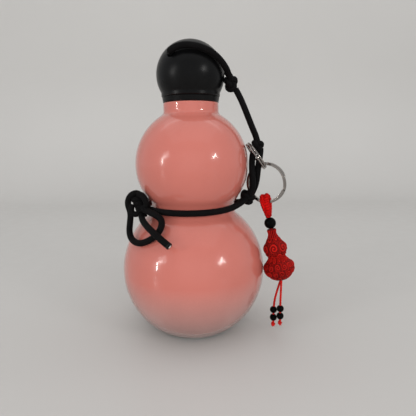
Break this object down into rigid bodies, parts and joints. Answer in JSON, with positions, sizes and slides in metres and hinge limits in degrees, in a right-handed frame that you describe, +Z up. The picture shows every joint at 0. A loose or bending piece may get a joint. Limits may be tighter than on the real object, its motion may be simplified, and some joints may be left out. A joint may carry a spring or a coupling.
{
  "type": "gourd water bottle",
  "caption": "Double-gourd glass water bottle with a screw cap under a ball, a knotted cord harness, split rings and a carved gourd charm with a beaded tassel.",
  "frame": {"origin": "middle of the flat base, on the bottle's axis", "axes": "+Z up along the bottle; -Y to the front, where the bow's end hangs; +X to the rings"},
  "size_m": [0.1197, 0.1001, 0.2001],
  "materials": {
    "lacquered_glass": "pink lacquer that fades out to clear glass near the base, gloss",
    "cap_plastic": "moulded, satin",
    "seal_rubber": "soft silicone",
    "black_cord": "round braided polyester cord",
    "ring_steel": "nickel plated",
    "braid_cord": "plaited cord",
    "red_string": "twisted string",
    "black_bead": "polished",
    "carved_lacquer": "red carved lacquer, satin"
  },
  "bodies": {
    "bottle": {"glass_bottle": "lacquered_glass"},
    "harness": {"leash_cord": "black_cord", "ring_knot": "black_cord", "left_strand": "black_cord", "right_strand": "black_cord", "waist_knot": "black_cord", "waist_cord_front": "black_cord", "waist_cord_back": "black_cord", "bow_knot": "black_cord", "bow_loop": "black_cord", "bow_tail": "black_cord", "bow_tip": "black_cord"},
    "cap": {"cap_ball": "cap_plastic", "cap_thread_cup": "cap_plastic", "cap_seal_ring": "seal_rubber", "cap_loop_cord": "black_cord", "cap_knot": "black_cord"},
    "small_ring": {"small_split_ring": "ring_steel"},
    "large_ring": {"large_split_ring": "ring_steel"},
    "charm_loop": {"charm_braid": "braid_cord"},
    "charm": {"charm_line": "braid_cord"},
    "bead": {"charm_bead": "black_bead"},
    "pendant": {"gourd_pendant": "carved_lacquer"},
    "tassel": {"tassel_string_right": "red_string", "tassel_string_left": "red_string", "tassel_bead_1": "black_bead", "tassel_bead_2": "black_bead", "tassel_bead_3": "black_bead", "tassel_bead_4": "black_bead", "tassel_knot_right": "red_string", "tassel_knot_left": "red_string"}
  },
  "joints": [
    {"name": "cap_turn", "type": "hinge", "parent": "bottle", "child": "harness", "pos_m": [0, 0, 0], "axis": [0, 0, 1], "range_deg": [0, 720]},
    {"name": "cap_lift", "type": "slide", "parent": "harness", "child": "cap", "axis": [0, 0, 1], "range_m": [0, 0.0081], "deforming": ["leash_cord"]},
    {"name": "small_ring_tilt", "type": "hinge", "parent": "harness", "child": "small_ring", "pos_m": [0.03773, -0.009, 0.13166], "axis": [0, -1, 0], "range_deg": [0, 40]},
    {"name": "large_ring_swing", "type": "hinge", "parent": "small_ring", "child": "large_ring", "pos_m": [0.04907, -0.009, 0.11593], "axis": [0, -1, 0], "range_deg": [0, 50]},
    {"name": "charm_swing", "type": "hinge", "parent": "large_ring", "child": "charm_loop", "pos_m": [0.05037, -0.009, 0.09265], "axis": [0.8829, -0.4695, 0], "range_deg": [0, 40]},
    {"name": "charm_sway", "type": "hinge", "parent": "charm_loop", "child": "charm", "pos_m": [0.05219, -0.00997, 0.08348], "axis": [-0.4695, -0.8829, 0], "range_deg": [0, 50]},
    {"name": "bead_spin", "type": "hinge", "parent": "charm", "child": "bead", "pos_m": [0.05326, -0.01053, 0.07812], "axis": [-0.1935, 0.1029, 0.9757], "continuous": true},
    {"name": "pendant_spin", "type": "hinge", "parent": "charm", "child": "pendant", "pos_m": [0.05406, -0.01096, 0.07407], "axis": [-0.1935, 0.1029, 0.9757], "continuous": true},
    {"name": "tassel_swing", "type": "hinge", "parent": "charm", "child": "tassel", "pos_m": [0.06091, -0.0146, 0.03953], "axis": [-0.4695, -0.8829, 0], "range_deg": [-20, 45]}
  ],
  "couplings": [
    {"joint": "cap_lift", "follows": "cap_turn", "m_per_rad": 0.00063662}
  ]
}
